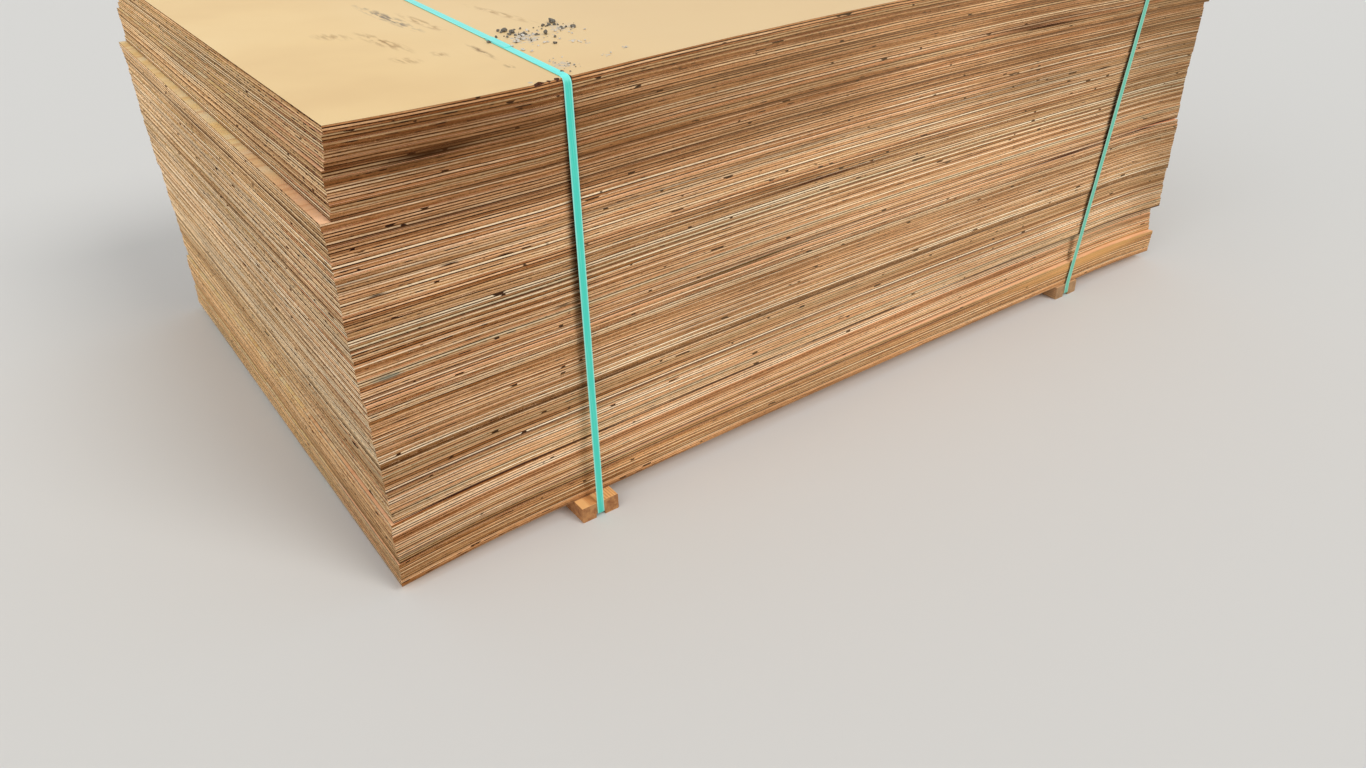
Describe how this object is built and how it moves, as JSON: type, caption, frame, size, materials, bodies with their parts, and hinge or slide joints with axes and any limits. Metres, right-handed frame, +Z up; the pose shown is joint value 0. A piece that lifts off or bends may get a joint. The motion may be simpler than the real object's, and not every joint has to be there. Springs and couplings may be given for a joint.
{
  "type": "stack of plywood sheets",
  "caption": "Strapped stack of large plywood sheets lying flat on two timber bolsters, with a fork gap underneath.",
  "frame": {"origin": "on the floor, at the middle of the whole object's footprint", "axes": "+X along the sheets' length, +Y across them, away from the pictured long side, +Z up"},
  "size_m": [2.4742, 1.5798, 0.9287],
  "materials": {
    "plywood": "sawn edges of plywood, with light and dark plies",
    "overlaid_plywood": "smooth matt resin-paper overlay, dusty",
    "sawn_softwood": "planed and weathered softwood",
    "plastic_strap": "embossed polyester strapping, satin"
  },
  "bodies": {
    "root": {"first_lift": "plywood", "second_lift": "plywood", "third_lift": "plywood", "fourth_lift": "plywood", "fifth_lift": "plywood", "sixth_lift": "plywood", "seventh_lift": "plywood", "eighth_lift": "plywood", "ninth_lift": "plywood", "tenth_lift": "plywood", "eleventh_lift": "plywood", "top_sheet": "overlaid_plywood", "left_bolster": "sawn_softwood", "right_bolster": "sawn_softwood", "left_strap": "plastic_strap", "right_strap": "plastic_strap"}
  },
  "joints": []
}
